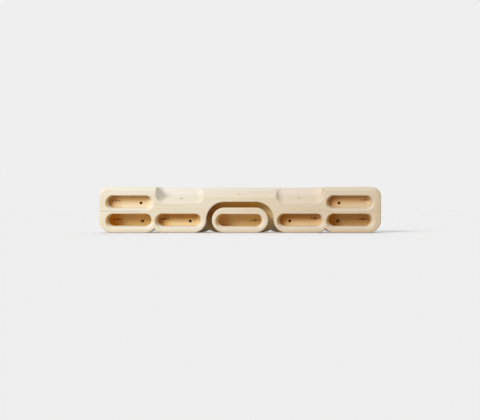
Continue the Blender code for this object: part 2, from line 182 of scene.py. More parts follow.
def mesh_from(name, shape):
    """A mesh from an edited shape, with every face pointing out."""
    bmesh.ops.recalc_face_normals(shape, faces=shape.faces)
    mesh = bpy.data.meshes.new(name)
    shape.to_mesh(mesh)
    shape.free()
    return mesh


def add_object(name, data):
    item = bpy.data.objects.new(name, data)
    bpy.context.scene.collection.objects.link(item)
    return item


def evaluated_mesh(item):
    """The mesh that an object's modifiers make of it."""
    bpy.context.view_layer.update()
    evaluated = item.evaluated_get(bpy.context.evaluated_depsgraph_get())
    return bpy.data.meshes.new_from_object(evaluated)


def place(mesh):
    """Moves a mesh from the board's own coordinates into the frame."""
    mesh.transform(Matrix.Translation((0, FRONT_Y, BOTTOM_Z)))
    return mesh


def arc(centre_x, centre_z, radius, start, end, steps):
    """Points (x, z) along an arc; the angles are in degrees, counter-clockwise from +x."""
    turns = [math.radians(start + (end - start) * step / steps) for step in range(steps + 1)]
    return [(centre_x + radius * math.cos(turn), centre_z + radius * math.sin(turn)) for turn in turns]


def round_off(radius, distance):
    """How far a quarter round of this radius stands off its wall, this far from its edge."""
    if distance >= radius:
        return 0
    return radius - math.sqrt(radius ** 2 - (radius - max(distance, 0)) ** 2)


def quarter_levels(radius, steps):
    """Levels from 0 to the radius at even angles round a quarter circle."""
    return [radius * (1 - math.cos(math.pi / 2 * step / steps)) for step in range(steps + 1)]


def circle(x, z, radius, sides):
    """Points (x, z) evenly round a circle."""
    turns = [2 * math.pi * step / sides for step in range(sides)]
    return [(x + radius * math.cos(turn), z + radius * math.sin(turn)) for turn in turns]


def add_rings(shape, sections, closed=False):
    """Joins sections of equally many 3D points by faces, and the last to the first if closed."""
    rings = [[shape.verts.new(point) for point in section] for section in sections]
    for ring, following in zip(rings, rings[1:] + (rings[:1] if closed else [])):
        for index in range(len(ring)):
            after = (index + 1) % len(ring)
            shape.faces.new((ring[index], ring[after], following[after], following[index]))
    return rings


def loft(name, sections):
    """A closed solid through sections of equally many 3D points, with flat ends."""
    shape = bmesh.new()
    rings = add_rings(shape, sections)
    shape.faces.new(rings[0])
    shape.faces.new(rings[-1])
    bmesh.ops.remove_doubles(shape, verts=shape.verts, dist=SAME_POINT)
    return mesh_from(name, shape)


def box(name, *ranges):
    """A box from its ranges along x, y and z."""
    low, high = (Vector(corner) for corner in zip(*ranges))
    placing = Matrix.Translation((low + high) / 2) @ Matrix.Diagonal((*(high - low), 1))
    shape = bmesh.new()
    bmesh.ops.create_cube(shape, size=1, matrix=placing)
    return mesh_from(name, shape)


# Outlines of the wood, seen from the front. Each point is (x, z, rounding of the front edge).

def rounded(points, start=FRONT_EDGE_RADIUS, end=FRONT_EDGE_RADIUS):
    """Gives the points of one stretch a front-edge rounding that changes evenly along it."""
    last = len(points) - 1
    return [(x, z, start + (end - start) * index / last) for index, (x, z) in enumerate(points)]


def scallop(centre_x, notch_height, radius):
    """Two arcs that rise from the bottom edge and meet in a cusp, from left to right."""
    run = math.sqrt(radius ** 2 - (radius - notch_height) ** 2)
    sweep = math.degrees(math.asin(run / radius))
    rising = arc(centre_x - run, radius, radius, -90, sweep - 90, CORNER_STEPS)
    falling = arc(centre_x + run, radius, radius, 270 - sweep, 270, CORNER_STEPS)
    return rounded(rising + falling[1:])


def right_edge():
    """From the notch between the lobes round the right-hand end to the top edge."""
    notch = scallop(SCALLOP_X, SCALLOP_HEIGHT, LOBE_RADIUS)
    low_corner = arc(WIDTH / 2 - LOBE_RADIUS, LOBE_RADIUS, LOBE_RADIUS, -90, 0, CORNER_STEPS)
    high_corner = arc(WIDTH / 2 - TOP_CORNER_RADIUS, HEIGHT - TOP_CORNER_RADIUS, TOP_CORNER_RADIUS,
                      0, 90, CORNER_STEPS)
    return notch + rounded(low_corner) + rounded(high_corner, end=TOP_EDGE_RADIUS)


def mirrored(right_half):
    """Closes a right-hand half, whose first and last stretch cross the middle, to a whole outline."""
    return right_half + [(-x, *rest) for x, *rest in reversed(right_half)]


def groove_side():
    """The groove's right-hand outer side, from the top of the arch down round the lobe's flank."""
    rise = LOBE_RADIUS - GRIP_RADIUS
    reach = GROOVE_RADIUS + LOBE_RADIUS
    lobe_x = GRIP_END_X + math.sqrt(reach ** 2 - rise ** 2)
    turn = math.degrees(math.asin(rise / reach))
    arch = arc(GRIP_END_X, GRIP_RADIUS, GROOVE_RADIUS, 90, turn, ARCH_STEPS)
    flank = arc(lobe_x, LOBE_RADIUS, LOBE_RADIUS, 180 + turn, 270, CORNER_STEPS)
    side = rounded(arch, GROOVE_EDGE_RADIUS, GROOVE_EDGE_RADIUS)
    return side + rounded(flank[1:], GROOVE_EDGE_RADIUS)


def slot_points(half_width, low, high):
    """A slot with round ends between two heights, centred on x = 0."""
    radius = (high - low) / 2
    middle = (high + low) / 2
    end_x = half_width - radius
    right = arc(end_x, middle, radius, -90, 90, POCKET_END_STEPS)
    left = arc(-end_x, middle, radius, 90, 270, POCKET_END_STEPS)
    return right + left


def outlines():
    """The outlines of the front and middle layers, of the grip and of the back layer, by name."""
    back_notch = scallop(BACK_SCALLOP_X, BACK_SCALLOP_HEIGHT, BACK_SCALLOP_RADIUS)
    return {
        "lobed": mirrored(groove_side() + right_edge()),
        "grip": rounded(slot_points(GRIP_WIDTH / 2, 0, GRIP_HEIGHT)),
        "back": mirrored(back_notch + right_edge()),
    }


def without_repeats(outline):
    """Leaves out points that lie on the one before them."""
    kept = [outline[0]]
    for point in outline[1:]:
        if math.dist(point[:2], kept[-1][:2]) > SAME_POINT:
            kept.append(point)
    if math.dist(kept[0][:2], kept[-1][:2]) < SAME_POINT:
        kept.pop()
    return kept


def inward_steps(points):
    """For each corner of a closed outline, the move that takes both its sides in by one unit."""
    count = len(points)
    area = sum(points[i - 1][0] * points[i][1] - points[i][0] * points[i - 1][1] for i in range(count))
    turn = math.copysign(1, area)
    moves = []
    for i in range(count):
        here = Vector(points[i][:2])
        before = (here - Vector(points[i - 1][:2])).normalized()
        after = (Vector(points[(i + 1) % count][:2]) - here).normalized()
        normals = [turn * Vector((-side.y, side.x)) for side in (before, after)]
        moves.append((normals[0] + normals[1]) / (1 + normals[0].dot(normals[1])))
    return moves


def plate(name, outline):
    """An outline as a solid from front to back, with its front edge and its arris rounded."""
    points = without_repeats(outline)
    moves = inward_steps(points)
    sections = []
    for step in range(EDGE_STEPS + 1):
        turn = math.pi / 2 * step / EDGE_STEPS
        inset = [(1 - math.sin(turn)) * rounding for _, _, rounding in points]
        level = [(1 - math.cos(turn)) * rounding for _, _, rounding in points]
        sections.append([(x + move.x * back, y, z + move.y * back)
                         for (x, z, _), move, back, y in zip(points, moves, inset, level)])
    for level in reversed(quarter_levels(BACK_EDGE_RADIUS, ARRIS_STEPS)):
        inset = round_off(BACK_EDGE_RADIUS, level)
        sections.append([(x + move.x * inset, DEPTH - level, z + move.y * inset)
                         for (x, z, _), move in zip(points, moves)])
    return loft(name, sections)


# Cutters

def pocket_section(half_width, depth, level):
    """The pocket's outline at one level behind the front face, centred on the pocket."""
    swell = round_off(LIP_RADIUS, level + LIP_LIFT)
    swell_above = round_off(BROW_RADIUS, level)
    inset = round_off(FLOOR_RADIUS, depth - level)
    low = -POCKET_RADIUS - swell + inset
    high = POCKET_RADIUS + swell_above - inset
    points = slot_points(half_width + swell - inset, low, high)
    return [(x, level, z) for x, z in points]


def pocket_mesh(name, width, depth):
    lip = quarter_levels(LIP_RADIUS - LIP_LIFT, LIP_STEPS)
    floor = [depth - level for level in reversed(quarter_levels(FLOOR_RADIUS, FLOOR_STEPS))]
    sections = [pocket_section(width / 2, depth, level) for level in lip + floor]
    mouth = [(x, -REACH, z) for x, _, z in sections[0]]
    return loft(name, [mouth] + sections)


def blended(level, corner, slope_before, slope_after):
    """What a soft turn from one slope to the next adds to the first slope's line."""
    run = level - corner + CREASE_BLEND
    if run <= 0:
        return 0
    if run >= 2 * CREASE_BLEND:
        return (slope_after - slope_before) * (level - corner)
    return (slope_after - slope_before) * run ** 2 / (4 * CREASE_BLEND)


def slope_height(front_z, slope, level):
    """Height of a sloping hold at one depth: rounded front edge, slope, ramp and crest."""
    rise = math.tan(slope)
    radius = SLOPER_EDGE_RADIUS
    if level < radius * (1 - math.sin(slope)):
        centre_z = front_z + radius * rise - radius / math.cos(slope)
        return centre_z + math.sqrt(radius ** 2 - (radius - max(level, 0)) ** 2)
    ramp_rise = (CREST_Z - front_z - CREASE_Y * rise) / RAMP_RUN
    height = front_z + level * rise
    height += blended(level, CREASE_Y, rise, ramp_rise)
    return height + blended(level, CREST_Y, ramp_rise, 0)


def bank(end_x, floor_z, top_z):
    """How a side sloper ends at +x: a fillet up from its floor, a wall, and a rounded edge.

    Where the fillet reaches the top before it is upright, the rounded edge touches the fillet.
    """
    radius, edge = SLOPER_END_RADIUS, BANK_EDGE_RADIUS
    centre_x = end_x - radius
    centre_z = floor_z + radius
    edge_z = top_z - edge
    if centre_z <= edge_z:
        edge_x = end_x + edge
        turn = 0
    else:
        edge_x = centre_x + math.sqrt(max((radius + edge) ** 2 - (centre_z - edge_z) ** 2, 0))
        turn = math.degrees(math.atan2(edge_z - centre_z, edge_x - centre_x))
    fillet = arc(centre_x, centre_z, radius, -90, turn, BANK_STEPS)
    return fillet + arc(edge_x, edge_z, edge, 180 + turn, 90, BANK_EDGE_STEPS)


def sloper_section(level):
    """What is cut off above the sloping holds at one depth, seen from the front."""
    side_z = slope_height(SIDE_SLOPER_FRONT, SIDE_SLOPE, level)
    centre_z = slope_height(CENTRE_SLOPER_FRONT, CENTRE_SLOPE, level)
    swell = round_off(SLOPER_EDGE_RADIUS, level)
    outer = bank(SIDE_SLOPER_END + swell, side_z, HEIGHT)
    inner = [(-x, z) for x, z in bank(-SIDE_SLOPER_START, side_z, centre_z)]
    half = list(reversed(inner)) + outer + [(outer[-1][0], HEIGHT + REACH)]
    return [(x, level, z) for x, z in mirrored(half)]


def sloper_mesh():
    """The cutter for the three sloping holds, lofted from the front face to the wall face."""
    edge = quarter_levels(SLOPER_EDGE_RADIUS, SLOPER_EDGE_STEPS)
    slope_end = CREASE_Y - CREASE_BLEND
    ramp_end = CREST_Y + CREASE_BLEND
    slope = [edge[-1] + (slope_end - edge[-1]) * step / SLOPE_STEPS for step in range(1, SLOPE_STEPS + 1)]
    ramp = [slope_end + (ramp_end - slope_end) * step / RAMP_STEPS for step in range(1, RAMP_STEPS + 1)]
    sections = [sloper_section(level) for level in edge + slope + ramp + [DEPTH + REACH]]
    before = [(x, -REACH, z) for x, _, z in sections[0]]
    return loft("slopers", [before] + sections)


def groove_mesh():
    """The groove as a solid, between the arch and the grip, and open in front and below."""
    outer = [(x, z) for x, z, _ in groove_side()]
    outer.append((outer[-1][0], -REACH))
    inner = arc(GRIP_END_X, GRIP_RADIUS, GRIP_RADIUS, 90, -90, POCKET_END_STEPS)
    inner.append((GRIP_END_X, -REACH))
    whole = mirrored(outer + list(reversed(inner)))
    return loft("groove", [[(x, level, z) for x, z in whole] for level in (-REACH, DEEP_DEPTH)])


def hole_mesh(name, x, z, floor):
    """A screw hole from a pocket's floor through the wall face, with both its rims broken."""
    radius = SCREW_HOLE / 2
    flare = COUNTERSINK / 2 if floor == DEEP_DEPTH else radius + HOLE_CHAMFER
    profile = [(flare, floor - REACH), (flare, floor), (radius, floor + flare - radius),
               (radius, DEPTH - HOLE_CHAMFER), (radius + HOLE_CHAMFER, DEPTH),
               (radius + HOLE_CHAMFER, DEPTH + REACH)]
    return loft(name, [[(at_x, y, at_z) for at_x, at_z in circle(x, z, reach, HOLE_SIDES)]
                       for reach, y in profile])


def pockets():
    """Each pocket: name, x, z, width, depth."""
    places = [("centre", 0, GRIP_RADIUS, GRIP_POCKET_WIDTH, DEEP_DEPTH)]
    for side, sign in (("left", -1), ("right", 1)):
        outer_x = sign * OUTER_POCKET_X
        inner_x = sign * INNER_POCKET_X
        places.append(("upper_" + side, outer_x, UPPER_POCKET_Z, POCKET_WIDTH, SHALLOW_DEPTH))
        places.append(("outer_" + side, outer_x, LOWER_POCKET_Z, POCKET_WIDTH, DEEP_DEPTH))
        places.append(("inner_" + side, inner_x, LOWER_POCKET_Z, POCKET_WIDTH, MEDIUM_DEPTH))
    return places


def screw_holes():
    """Each screw hole: its pocket's name, x, z and where it starts; the centre pocket has none."""
    return [(name, x - math.copysign(width / 2 - SCREW_INSET, x), z - SCREW_DROP, depth)
            for name, x, z, width, depth in pockets() if x != 0]


def all_cutters():
    """The cutters that every stave may meet."""
    cutters = [add_object("cut_slopers", sloper_mesh())]
    holes = {name: place for name, *place in screw_holes()}
    for name, x, z, width, depth in pockets():
        mesh = pocket_mesh("pocket_" + name, width, depth)
        mesh.transform(Matrix.Translation((x, 0, z)))
        cutters.append(add_object("cut_pocket_" + name, mesh))
        if name in holes:
            hole = hole_mesh("screw_" + name, *holes[name])
            cutters.append(add_object("cut_screw_" + name, hole))
    return cutters


def overlap(one, other):
    """True if the boxes of two objects meet."""
    spans = [[(min(values), max(values)) for values in zip(*item.bound_box)] for item in (one, other)]
    return all(mine[0] <= its[1] and its[0] <= mine[1] for mine, its in zip(*spans))


def add_boolean(item, operation, operand):
    step = item.modifiers.new(operation.lower(), "BOOLEAN")
    step.operation = operation
    step.solver = "MANIFOLD"
    step.object = operand


# Staves

def layer_range(layer):
    """Front and back depth of a layer; the outer faces reach past the wood, to be trimmed."""
    front = layer * LAYER_THICKNESS + SEAM_GAP / 2
    back = (layer + 1) * LAYER_THICKNESS - SEAM_GAP / 2
    if layer == 0:
        front = -REACH
    if layer == LAYER_COUNT - 1:
        back = DEPTH + REACH
    return front, back


def above(seam):
    return seam + SEAM_GAP / 2, HEIGHT + REACH


def below(seam):
    return -REACH, seam - SEAM_GAP / 2


FAR = WIDTH / 2 + REACH
WHOLE, LEFT, RIGHT = (-FAR, FAR), (-FAR, 0), (0, FAR)

# Each stave: name, layer, x range, z range and the outline that trims it, then its wood: the pith's
# place (y, z) in the frame at x = 0, its drift per metre to the left, the warmth (paler below 0)
# and the record slot
STAVES = (
    ("front_upper_stave", 0, WHOLE, above(FRONT_SEAM), "lobed",
     (0.06, 0.155), (0.012, -0.02), 0, "pine_light"),
    ("front_lower_left_stave", 0, LEFT, below(FRONT_SEAM), "lobed",
     (0.11, -0.15), (-0.015, 0.01), 0.02, "pine_mid"),
    ("front_lower_right_stave", 0, RIGHT, below(FRONT_SEAM), "lobed",
     (0.105, -0.16), (0.01, 0.02), 0.22, "pine_mid"),
    ("front_grip_cap", 0, WHOLE, above(FRONT_SEAM), "grip",
     (0.06, 0.155), (0.012, -0.02), 0.05, "pine_light"),
    ("front_grip_stave", 0, WHOLE, below(FRONT_SEAM), "grip",
     (0.09, -0.14), (0.004, 0.01), 0.05, "pine_mid"),
    ("middle_upper_stave", 1, WHOLE, above(MIDDLE_SEAM), "lobed",
     (-0.16, 0.08), (0.01, 0.02), 0.08, "pine_mid"),
    ("middle_lower_left_stave", 1, LEFT, below(MIDDLE_SEAM), "lobed",
     (-0.15, -0.09), (0.012, -0.01), 0.2, "pine_warm"),
    ("middle_lower_right_stave", 1, RIGHT, below(MIDDLE_SEAM), "lobed",
     (-0.14, -0.08), (-0.01, 0.012), 0.25, "pine_warm"),
    ("middle_grip_stave", 1, WHOLE, below(MIDDLE_SEAM), "grip",
     (-0.15, -0.09), (0, 0.01), 0.2, "pine_warm"),
    # its paler tone is partly the wood's own and partly a painted highlight on its up-facing ramp and
    # crest
    ("back_upper_stave", 2, WHOLE, above(BACK_SEAM), "back",
     (0.085, 0.19), (-0.01, 0.01), -0.65, "pine_light"),
    ("back_lower_stave", 2, WHOLE, below(BACK_SEAM), "back",
     (0.12, -0.12), (0.015, -0.01), 0.15, "pine_mid"),
)

# Which points take the painted shade of the pockets, screw holes and groove. Each pair is where it
# sets in and where it is full: a depth behind the front face, or a height above the bottom edge.
DEEPENING = (2 * MM, 38 * MM)
GROOVE_FOOT = (-6 * MM, 10 * MM)
GROOVE_MOUTH = (1 * MM, 16 * MM)
GROOVE_LEGS = (6 * MM, 24 * MM)
LIP_START = 0.1 * MM
LIP_FADE = (5 * MM, 11 * MM)  # the other way round: full, then gone
HOLE_START = 0.2 * MM  # how far past the pocket's floor a screw hole's dark wall begins
HOLE_STOP = 1 * MM  # how far before the wall face it ends


def smooth_share(value, low, high):
    """0 below low, 1 above high, and an even soft rise between them."""
    share = min(max((value - low) / (high - low), 0), 1)
    return share * share * (3 - 2 * share)


def in_pocket(x, y, z):
    """True if a point lies on the wall or the floor of a pocket."""
    swell = round_off(LIP_RADIUS, y + LIP_LIFT)
    swell_above = round_off(BROW_RADIUS, y)
    radius = POCKET_RADIUS + (swell + swell_above) / 2
    lift = (swell_above - swell) / 2
    for _, pocket_x, pocket_z, width, depth in pockets():
        past_end = max(abs(x - pocket_x) - (width / 2 + swell - radius), 0)
        on_wall = math.hypot(past_end, z - pocket_z - lift) <= radius + ON_WALL
        if on_wall and 0 < y <= depth + ON_WALL:
            return True
    return False


def in_groove(x, y, z):
    """True if a point lies on a wall or the floor of the groove."""
    around = math.hypot(max(abs(x) - GRIP_END_X, 0), z - GRIP_RADIUS)
    between = GRIP_RADIUS - ON_WALL <= around <= GROOVE_RADIUS + ON_WALL
    return between and 0 < y <= DEEP_DEPTH + ON_WALL


def in_screw_hole(x, y, z):
    """True if a point lies inside a screw hole, past the rim in the pocket's floor."""
    return any(depth + HOLE_START < y < DEPTH - HOLE_STOP
               and math.hypot(x - hole_x, z - hole_z) <= COUNTERSINK / 2 + ON_WALL
               for _, hole_x, hole_z, depth in screw_holes())


def lip_share(x, y, z):
    """How far a point belongs to a pocket's rounded rim, from 0 to 1."""
    if y < LIP_START or not in_pocket(x, y, z):
        return 0
    return 1 - smooth_share(y, *LIP_FADE)


def cavity_shade_share(x, y, z):
    """How deep in a pocket or in the groove a point of the surface lies, from 0 to 1, which sets how much
    painted shade it takes; inside a screw hole it is 1.
    """
    if in_screw_hole(x, y, z):
        return 1
    depth = smooth_share(y, *DEEPENING)
    if in_pocket(x, y, z):
        return depth
    if in_groove(x, y, z):
        return depth * smooth_share(z, *GROOVE_FOOT)
    return 0


def groove_shade_share(x, y, z):
    """How far a point takes the groove's painted shade: not at its front edge or its open foot."""
    return in_groove(x, y, z) * smooth_share(y, *GROOVE_MOUTH) * smooth_share(z, *GROOVE_LEGS)


def finish_mesh(name, mesh):
    """Cleans and smooths a cut mesh, and notes where it lies on a lip or in a cavity."""
    shape = bmesh.new()
    shape.from_mesh(mesh)
    bmesh.ops.remove_doubles(shape, verts=shape.verts, dist=WELD)
    bmesh.ops.dissolve_degenerate(shape, dist=WELD, edges=shape.edges)
    for attribute, share in (("cavity", cavity_shade_share), ("groove", groove_shade_share), ("lip", lip_share)):
        layer = shape.verts.layers.float.new(attribute)
        for vert in shape.verts:
            vert[layer] = share(*vert.co)
    finished = mesh_from(name, shape)
    finished.shade_smooth()
    finished.set_sharp_from_angle(angle=SHARP_ANGLE)
    return finished


def make_staves():
    """Every stave as a finished object in the frame, by name."""
    plates = {key: add_object("outline_" + key, plate(key, points)) for key, points in outlines().items()}
    groove = add_object("cut_groove", groove_mesh())
    cutters = all_cutters()
    staves = {}
    for name, layer, x_range, z_range, outline, *_ in STAVES:
        blank = add_object(name + "_blank", box(name, x_range, layer_range(layer), z_range))
        add_boolean(blank, "INTERSECT", plates[outline])
        for cutter in cutters + ([groove] if outline == "back" else []):
            if overlap(blank, cutter):
                add_boolean(blank, "DIFFERENCE", cutter)
        mesh = finish_mesh(name, evaluated_mesh(blank))
        bpy.data.objects.remove(blank, do_unlink=True)
        staves[name] = add_object(name + "_wood", place(mesh))
        staves[name].modifiers.new("normals", "WEIGHTED_NORMAL").keep_sharp = True
    for helper in cutters + [groove] + list(plates.values()):
        bpy.data.objects.remove(helper, do_unlink=True)
    return staves


# Node graphs

class Graph:
    """Adds nodes to a tree and links them; a socket or a plain value can be given as an input."""

    def __init__(self, tree):
        self.tree = tree

    def put(self, socket, value):
        if isinstance(value, bpy.types.NodeSocket):
            self.tree.links.new(value, socket)
        else:
            socket.default_value = value

    def feed(self, made, inputs):
        for key, value in dict(inputs).items():
            self.put(made.inputs[key], value)

    def node(self, kind, inputs=(), **settings):
        made = self.tree.nodes.new(kind)
        for key, value in settings.items():
            setattr(made, key, value)
        self.feed(made, inputs)
        return made

    def math(self, operation, *values):
        return self.node("ShaderNodeMath", enumerate(values), operation=operation).outputs[0]

    def plus(self, one, other):
        return self.math("ADD", one, other)

    def minus(self, one, other):
        return self.math("SUBTRACT", one, other)

    def times(self, product, *others):
        for other in others:
            product = self.math("MULTIPLY", product, other)
        return product

    def squares(self, one, other):
        """The sum of the squares of two values."""
        return self.plus(self.times(one, one), self.times(other, other))

    def ramp(self, value, low, high, out_low=0, out_high=1, kind="SMOOTHSTEP"):
        """Maps a value from one range to another, and holds it at the ends."""
        inputs = {"Value": value, "From Min": low, "From Max": high, "To Min": out_low, "To Max": out_high}
        return self.node("ShaderNodeMapRange", inputs, interpolation_type=kind).outputs["Result"]

    def axes(self, vector):
        return self.node("ShaderNodeSeparateXYZ", {0: vector}).outputs

    def attribute(self, name):
        return self.node("ShaderNodeAttribute", attribute_name=name).outputs["Fac"]

    def noise(self, vector, scale, detail, roughness=0.5):
        scaled = self.node("ShaderNodeVectorMath", {0: vector, 1: scale}, operation="MULTIPLY").outputs[0]
        inputs = {"Vector": scaled, "Scale": 1, "Detail": detail, "Roughness": roughness}
        return self.node("ShaderNodeTexNoise", inputs).outputs["Fac"]

    def colours(self, value, stops):
        """A colour ramp through the given (place, colour) stops."""
        ramp = self.node("ShaderNodeValToRGB", {0: value})
        elements = ramp.color_ramp.elements
        while len(elements) < len(stops):
            elements.new(0.5)
        for element, (place, colour) in zip(elements, stops):
            element.position = place
            element.color = colour
        return ramp.outputs["Color"]

    def mix(self, factor, one, other, blend="MIX"):
        made = self.node("ShaderNodeMix", data_type="RGBA", blend_type=blend)
        sockets = {each.identifier: each for each in (*made.inputs, *made.outputs)}
        for key, value in (("Factor_Float", factor), ("A_Color", one), ("B_Color", other)):
            self.put(sockets[key], value)
        return sockets["Result_Color"]


def new_material(name):
    """A material, its graph and its surface shader."""
    material = bpy.data.materials.new(name)
    material.use_nodes = True
    return material, Graph(material.node_tree), material.node_tree.nodes["Principled BSDF"]


# Pine

EARLY_WOOD = (0.86, 0.78, 0.62, 1)
LATE_WOOD = (0.76, 0.61, 0.4, 1)
WARM_WOOD = (0.8, 0.64, 0.43, 1)
# pale wood, and also the colour of the painted highlights on tops, rims and the front stave's upper edge
PALE_WOOD_AND_HIGHLIGHT = (0.86, 0.81, 0.72, 1)
END_GRAIN = (0.64, 0.48, 0.29, 1)
# painted shade: the warm brown that stands in for the shade deep in the pockets, the groove and the screw
# holes
CAVITY_SHADE = (0.97, 0.69, 0.27, 1)
# painted shade along the pockets' upper walls, on the side the light comes from
POCKET_SHADE = (0.66, 0.4, 0.12, 1)
LIP_SHADE = (0.8, 0.58, 0.32, 1)  # painted shade on a rim at a pocket's left end
GLUE = (0.2, 0.115, 0.045, 1)
FLECK = (0.33, 0.2, 0.09, 1)

# The wood gets darker and redder from left to right, partly its own tone, partly painted shade where the
# key's light falls off and along the right end; each stop is a place from 0 to 1 and a tint
TONE_AND_SHADE_ALONG = (
    (0, (1, 1, 1, 1)),
    (0.29, (0.945, 0.96, 0.965, 1)),
    (0.5, (0.905, 0.88, 0.85, 1)),
    (0.72, (0.83, 0.79, 0.76, 1)),
    (0.977, (0.793, 0.735, 0.675, 1)),
    (0.987, (0.725, 0.668, 0.6, 1)),
)

# The groove's painted shade, darkest in its shaded left leg and palest in its right leg; each stop is a
# place from 0 to 1 and a colour
GROOVE_SHADE_ALONG = (
    (0, (0.68, 0.26, 0.01, 1)),
    (0.25, (0.98, 0.66, 0.17, 1)),
    (0.75, (0.98, 0.66, 0.17, 1)),
    (1, (0.98, 0.83, 0.53, 1)),
)

# Noises: scale along x, y and z, detail, and roughness where it isn't 0.5
WANDER = ((2.2, 9, 9), 1)
RIPPLE = ((9, 70, 70), 2)
FIBRES = ((22, 1300, 1300), 3, 0.6)
STREAKS = ((3, 75, 75), 3, 0.55)
CLOUDS = ((5, 16, 16), 2)
PORES = ((1500, 1500, 1500), 1)

# Growth rings
RING_WIDTH = 3.4 * MM
WANDER_REACH = 26 * MM
RIPPLE_REACH = 1.6 * MM
YEAR_CHANGE = 0.73  # scale of the noise by which some years are darker

# Ramps: where an effect sets in, where the ramp ends, and the shares there if they aren't 0 and 1
LATE_SEASON = (0.35, 0.9)
SEASON_END = (0.93, 1, 1, 0)
DARK_YEARS = (0.3, 0.7, 0.25, 1)
STREAK_SHARE = (0.35, 0.75, 0, 0.35)
CLOUD_SHARE = (0.35, 0.7, 0, 0.3)
FIBRE_SHARE = (0.42, 0.72, 0, 0.22)
PORE_SHARE = (0.55, 0.7, 0, 0.3)
# painted highlight: faces that look up are paler, where the light from above falls
PAINTED_TOP_LIGHT = (0, 0.85, 0, 0.35)
FACING_ALONG = (0.65, 1)
# painted highlight: the front stave pales towards its top edge, where light from above whitens it
PAINTED_UPPER_EDGE_LIGHT = (BOTTOM_Z + 76 * MM, BOTTOM_Z + 92 * MM, 0, 0.5)
OUTER_BLOCKS = (184 * MM, 196 * MM, 0, 0.55)  # of end grain, by distance from the middle
OPEN_SEAM = (-232 * MM, -205 * MM, 0.95, 0.14)  # the glue shows most at the left end
GLUE_EDGE = (0.084 * MM, 0.42 * MM, 1, 0)
FLECK_EDGE = (0.1, 1, 1, 0)

# Shares that hold all over
RING_SHARE = 0.42
# share of the painted highlight on the pockets' rounded rims
LIP_HIGHLIGHT = 0.3
# how much of the painted shade the deepest points take
CAVITY_SHADE_SHARE = 0.9
FLECK_SHARE = 0.55

# Surface
RELIEF_SHARE = 0.5  # of the fibres and of the rings
RELIEF_HEIGHT = 0.12 * MM
RELIEF_STRENGTH = 0.25
ROUGHNESS = 0.46
ROUGHER = 0.12  # what fibres add to it, and end grain once more
WOOD_GLOSS = 0.2

# Pockets with painted shade along their walls: x to either side, height, width, share of the painted
# shade along the upper wall, and the painted shade's tint at the left end
SHADED_POCKETS = (
    (OUTER_POCKET_X, UPPER_POCKET_Z, POCKET_WIDTH, 0.8, (0.85, 0.68, 0.5, 1)),
    (OUTER_POCKET_X, LOWER_POCKET_Z, POCKET_WIDTH, 0.4, (1, 0.72, 0.15, 1)),
    (INNER_POCKET_X, LOWER_POCKET_Z, POCKET_WIDTH, 0.9, (1, 0.88, 0.55, 1)),
    (0, GRIP_RADIUS, GRIP_POCKET_WIDTH, 0.15, (1, 0.85, 0.6, 1)),
)
SHADE_TOWARD = (-0.6, 0.8)  # direction (x, z) from a pocket's middle to its darkest wall, the one that casts the painted shade
SHADE_ACROSS = (-0.56, 0.36)  # where it sets in and is full that way, in pocket radii
SHADE_DEPTH = (0, 0.12)  # where it sets in and is full, as a cavity share
SHADE_RIM = (POCKET_RADIUS, POCKET_RADIUS + 1.5 * MM, 1, 0)
END_SHADE = (8 * MM, 34 * MM, 1, 0)  # painted shade at the left end, by distance from the pocket's left end

# The part of a rim that takes painted shade, by height over the pocket's middle, distance from it,
# and distance from the pocket's left end
RIM_FOOT = (-POCKET_RADIUS - 2 * MM, -POCKET_RADIUS + 6 * MM)
RIM_HEAD = (POCKET_RADIUS + 2 * MM, POCKET_RADIUS + 4 * MM, 1, 0)
RIM_REACH = (POCKET_RADIUS + 9 * MM, POCKET_RADIUS + 11 * MM, 1, 0)
RIM_END = (POCKET_RADIUS - 8 * MM, POCKET_RADIUS + 3 * MM, 1, 0)

# Small marks in the front stave's grain: x, height, half length, half height, tilt in degrees
FLECKS = (
    (-227.5 * MM, 78.8 * MM, 5 * MM, 0.8 * MM, 2),
    (158 * MM, 48.6 * MM, 30 * MM, 0.55 * MM, 5),
    (-176 * MM, 60 * MM, 6 * MM, 0.6 * MM, 18),
    (-172 * MM, 52 * MM, 5 * MM, 0.5 * MM, 12),
)


def growth_rings(graph, where, pith, lean):
    """The dark late wood of the rings round the pith, which wander a little."""
    x, y, z = graph.axes(where)
    away_y = graph.plus(graph.minus(y, pith[0]), graph.times(x, lean[0]))
    away_z = graph.plus(graph.minus(z, pith[1]), graph.times(x, lean[1]))
    away_y = graph.plus(away_y, graph.times(graph.noise(where, *WANDER), WANDER_REACH))
    radius = graph.math("SQRT", graph.squares(away_y, away_z))
    radius = graph.plus(radius, graph.times(graph.noise(where, *RIPPLE), RIPPLE_REACH))
    year = graph.math("DIVIDE", radius, RING_WIDTH)
    season = graph.math("FRACT", year)
    late = graph.times(graph.ramp(season, *LATE_SEASON), graph.ramp(season, *SEASON_END))
    inputs = {"W": graph.math("FLOOR", year), "Scale": YEAR_CHANGE}
    years = graph.node("ShaderNodeTexNoise", inputs, noise_dimensions="1D").outputs["Fac"]
    return graph.times(late, graph.ramp(years, *DARK_YEARS))


def end_grained(graph, colour, where, end):
    """Darkens the surfaces that face along the board in its outer blocks, and adds pores."""
    across = graph.math("ABSOLUTE", graph.axes(where)["X"])
    colour = graph.mix(graph.times(end, graph.ramp(across, *OUTER_BLOCKS)), colour, END_GRAIN)
    pores = graph.ramp(graph.noise(where, *PORES), *PORE_SHARE)
    return graph.mix(graph.times(end, pores), colour, LATE_WOOD)


